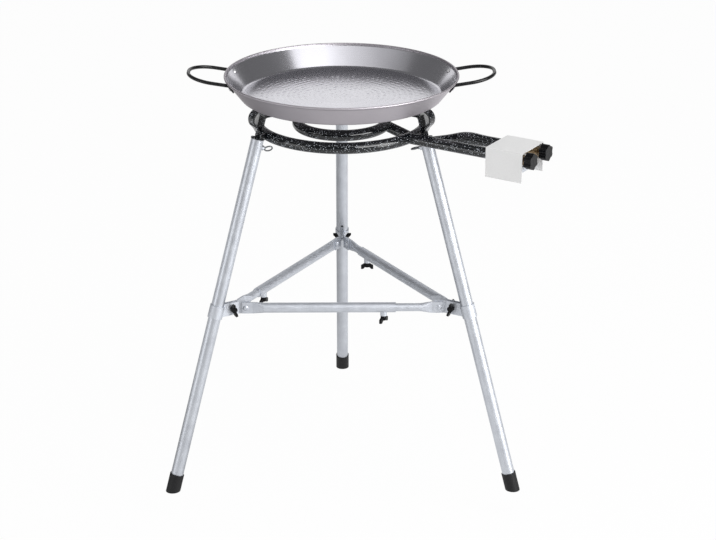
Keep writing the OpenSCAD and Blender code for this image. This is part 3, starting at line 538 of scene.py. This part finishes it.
pan_shell = put_mesh("pan_shell", pan_points, pan_faces, pan_finish.material, "pan_set")
attribute = pan_shell.data.attributes.new("polish", "FLOAT", "POINT")
attribute.data.foreach_set("value", pan_polish.astype(np.float32))
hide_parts("pan")
print("pan shell", len(pan_shell.data.polygons), "faces")

# %% [markdown]
# ## The bend in the inner feed tube
#
# The inner ring's tube dips under the outer ring and comes up again. The solid turns a sharp corner there, but
# a real tube is bent round a former and curves. A sleeve in the same enamel follows that curve: a circle
# carried along a path, whose radius swells to cover the corner and sinks into the tube at both ends.

# %% Feed bend
FEED_ANGLE = math.radians(-32.5)
FEED_SIDE = 0.044
FEED_R = 0.0107
RISE_START = np.array([0.17703, 0.6888])
RISE_END = np.array([0.258, 0.712])
BEND_R = 0.12
BEND_REACH = 0.055
BEND_SWELL = 0.0017
BEND_SINK = 0.0003
BEND_STEPS = 49
BEND_SIDES = 40


def bend_path(rise, half_arc):
    """Way, heading and place along a straight rise, an arc and a level run. The heading falls evenly on the
    arc, and a place is the sum of the small moves before it, set so that the last one lies on the level run."""
    along = np.linspace(-BEND_REACH, BEND_REACH, BEND_STEPS)
    heading = rise * np.clip((half_arc - along) / (2 * half_arc), 0.0, 1.0)
    middle_heading = (heading[1:] + heading[:-1]) / 2
    moves = np.diff(along)[:, None] * np.stack([np.cos(middle_heading), np.sin(middle_heading)], axis=1)
    path = np.concatenate([np.zeros((1, 2)), np.cumsum(moves, axis=0)])
    level_run = BEND_R * math.tan(rise / 2) + BEND_REACH - half_arc
    return along, heading, path - path[-1] + RISE_END + (level_run, 0.0)


rise = math.atan2(RISE_END[1] - RISE_START[1], RISE_END[0] - RISE_START[0])
along, heading, path = bend_path(rise, BEND_R * rise / 2)
swell = np.cos(math.pi / 2 * along / BEND_REACH) ** 2
sleeve_r = (FEED_R - BEND_SINK + (BEND_SWELL + BEND_SINK) * swell)[:, None]
heading = heading[:, None]
turn = np.linspace(0.0, 2 * math.pi, BEND_SIDES, endpoint=False)[None, :]
out_x = path[:, :1] - sleeve_r * np.sin(heading) * np.cos(turn)
out_z = path[:, 1:] + sleeve_r * np.cos(heading) * np.cos(turn)
side_y = FEED_SIDE + sleeve_r * np.sin(turn)
sleeve = np.stack([out_x, side_y, out_z], axis=-1).reshape(-1, 3)
ends = np.array([[path[0, 0], FEED_SIDE, path[0, 1]], [path[-1, 0], FEED_SIDE, path[-1, 1]]])
bend_points = np.concatenate([sleeve, ends])
feed_turn = np.array([[math.cos(FEED_ANGLE), math.sin(FEED_ANGLE), 0.0],
                      [-math.sin(FEED_ANGLE), math.cos(FEED_ANGLE), 0.0],
                      [0.0, 0.0, 1.0]])
bend_faces = (
    grid_faces(BEND_STEPS, BEND_SIDES).tolist()
    + fan_faces(len(sleeve), 0, BEND_SIDES).tolist()
    + fan_faces(len(sleeve) + 1, len(sleeve) - BEND_SIDES, BEND_SIDES)[:, ::-1].tolist())
feed_bend = put_mesh("feed_bend", bend_points @ feed_turn, bend_faces, enamel, "burner")
print("feed bend", len(bend_faces), "faces, turned", round(math.degrees(rise), 1), "degrees")

# %% [markdown]
# ## Light and floor
#
# The photograph is high key: a white ground, soft light from all sides and one stronger softbox overhead, in
# front and to the right. The world is white to the camera, dimmer as a lamp, so that colours come out as they
# are written, and dark in reflections, as the room round a white ground is. The floor shows the camera mostly
# white, and keeps a faint shadow. It lies as low as the feet reach when the legs are slid right out, so that
# no foot sinks into it.

# %% World
WHITE = (1.0, 1.0, 1.0, 1.0)
WORLD_LIGHT = 0.65
WORLD_MIRRORED = 0.2

world = bpy.data.worlds.new("studio")
bpy.context.scene.world = world
world.use_nodes = True
world_wire = Wire(world.node_tree)
camera_ray = world_wire.make("LightPath", {}, {}, out="Is Camera Ray")
glossy_ray = world_wire.make("LightPath", {}, {}, out="Is Glossy Ray")
clear_ray = world_wire.make("LightPath", {}, {}, out="Is Transmission Ray")
mirrored = (glossy_ray + clear_ray) * (WORLD_MIRRORED - WORLD_LIGHT)
shown = WORLD_LIGHT + mirrored + camera_ray * (1.0 - WORLD_LIGHT)
background = world.node_tree.nodes["Background"]
background.inputs["Color"].default_value = WHITE
world.node_tree.links.new(shown.socket, background.inputs["Strength"])
print("world light", WORLD_LIGHT)

# %% Lamps
AIM = (0.0, 0.0, 0.55)
# Each lamp's place, the side of its square and its power
LAMPS = {
    "key": ((1.14, -1.3, 2.95), 2.0, 21.0),
    "left": ((-2.6, -1.5, 0.8), 1.6, 15.0),
    "right": ((2.6, -1.5, 0.8), 1.6, 40.0),
}


def soft_lamp(name, place, size, power):
    """A square softbox that faces the object."""
    lamp = bpy.data.lights.new(name, "AREA")
    lamp.shape = "SQUARE"
    lamp.size = size
    lamp.energy = power
    box = bpy.data.objects.new(name, lamp)
    box.location = place
    toward = [a - b for a, b in zip(AIM, place)]
    pitch = math.atan2(math.hypot(toward[0], toward[1]), -toward[2])
    box.rotation_euler = (pitch, 0.0, math.atan2(-toward[0], toward[1]))
    bpy.context.scene.collection.objects.link(box)


for name, (place, size, power) in LAMPS.items():
    soft_lamp(name, place, size, power)
print("lamps", len(LAMPS))

# %% [markdown]
# ### Reflected cards
#
# Bright metal shows the room, so cards stand in it that only reflections see: they cast no shadow, and no
# camera sees them. The lit backdrop shows in the pan's floor. A card beside the softbox fades away to the
# left, so that the highlight on the pan's wall ends softly on one side. A bright window in front on the right
# shines on the enamel, and a dull patch of floor darkens the left sides.

# %% Cards
# Each card's tones at its left and right ends, its middle and its two half sides
CARDS = {
    "backdrop": (1.2, 1.2, (0.0, 3.2, 2.1), (2.0, 0.0, 0.0), (0.0, 0.0, 1.0)),
    "overhead": (0.3, 1.65, (-1.55, -0.75, 2.96), (1.85, -0.55, 0.0), (0.24, 0.8, 0.0)),
    "window": (8.0, 8.0, (2.1, -2.1, 2.2), (1.0, 1.0, 0.0), (0.0, 0.0, 0.8)),
    "dull_floor": (0.15, 0.95, (-0.55, 0.5, 0.001), (0.65, 0.0, 0.0), (0.0, 0.7, 0.0)),
}
BLACK = (0.0, 0.0, 0.0, 1.0)


def flat_sheet(name, middle, across, along, material):
    """A flat sheet from its middle and two half sides, set up as part of the studio."""
    middle, across, along = np.array([middle, across, along])
    sides = [across + along, along - across, -across - along, across - along]
    mesh = bpy.data.meshes.new(name)
    mesh.from_pydata([(middle + side).tolist() for side in sides], [], [(0, 1, 2, 3)])
    mesh.materials.append(material)
    sheet = bpy.data.objects.new(name, mesh)
    bpy.context.scene.collection.objects.link(sheet)
    sheet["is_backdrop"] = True
    return sheet


def reflected_card(name, left_tone, right_tone, middle, across, along):
    """A flat card that only reflections show: its tone goes from left to right with the squared way across."""
    card_finish = Finish(name, Base_Color=BLACK, Specular_IOR_Level=0.0, Emission_Strength=1.0)
    sideways = card_finish.wire.make("SeparateXYZ", {}, {"Vector": card_finish.place}, out="X")
    share = sideways.spread(middle[0] - across[0], middle[0] + across[0], 0.0, 1.0)
    card_finish.feed("Emission Color", left_tone + (right_tone - left_tone) * (share * share))
    card = flat_sheet(name, middle, across, along, card_finish.material)
    card.visible_camera = False
    card.visible_diffuse = False
    card.visible_shadow = False
    card.visible_transmission = False


for name, sides in CARDS.items():
    reflected_card(name, *sides)
print("cards", len(CARDS))

# %% Floor
FLOOR_HALF = 12.0
FLOOR_DROP = 0.054
FLOOR_SHOWN = 0.95
FLOOR_WHITE = (0.9, 0.9, 0.9, 1.0)

floor_finish = Finish("floor_white", Base_Color=FLOOR_WHITE, Roughness=0.9, Specular_IOR_Level=0.1)
glow = floor_finish.wire.make("Emission", {}, {"Color": WHITE, "Strength": 1.0})
seen = floor_finish.wire.make("LightPath", {}, {}, out="Is Camera Ray")
mirrored = floor_finish.wire.make("LightPath", {}, {}, out="Is Glossy Ray")
lit = Wire(floor_finish.wire.tree, floor_finish.shader.outputs[0])
mixed = floor_finish.wire.make("MixShader", {}, {0: (seen + mirrored) * FLOOR_SHOWN, 1: lit, 2: glow})
floor_output = floor_finish.wire.tree.nodes["Material Output"]
floor_finish.wire.tree.links.new(mixed.socket, floor_output.inputs["Surface"])
flat_sheet(
    "floor", (0.0, 0.0, -FLOOR_DROP), (FLOOR_HALF, 0.0, 0.0), (0.0, FLOOR_HALF, 0.0), floor_finish.material)
print("floor", 2 * FLOOR_HALF, "m wide")

# %% Size: the box of the CAD solids and the box of what is shown
boxes = {"cad": cad_box, "visual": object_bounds()}
boxes = {name: [list(corner) for corner in box] for name, box in boxes.items()}
for name, box in boxes.items():
    print(name, "box", [[round(c, 4) for c in corner] for corner in box])
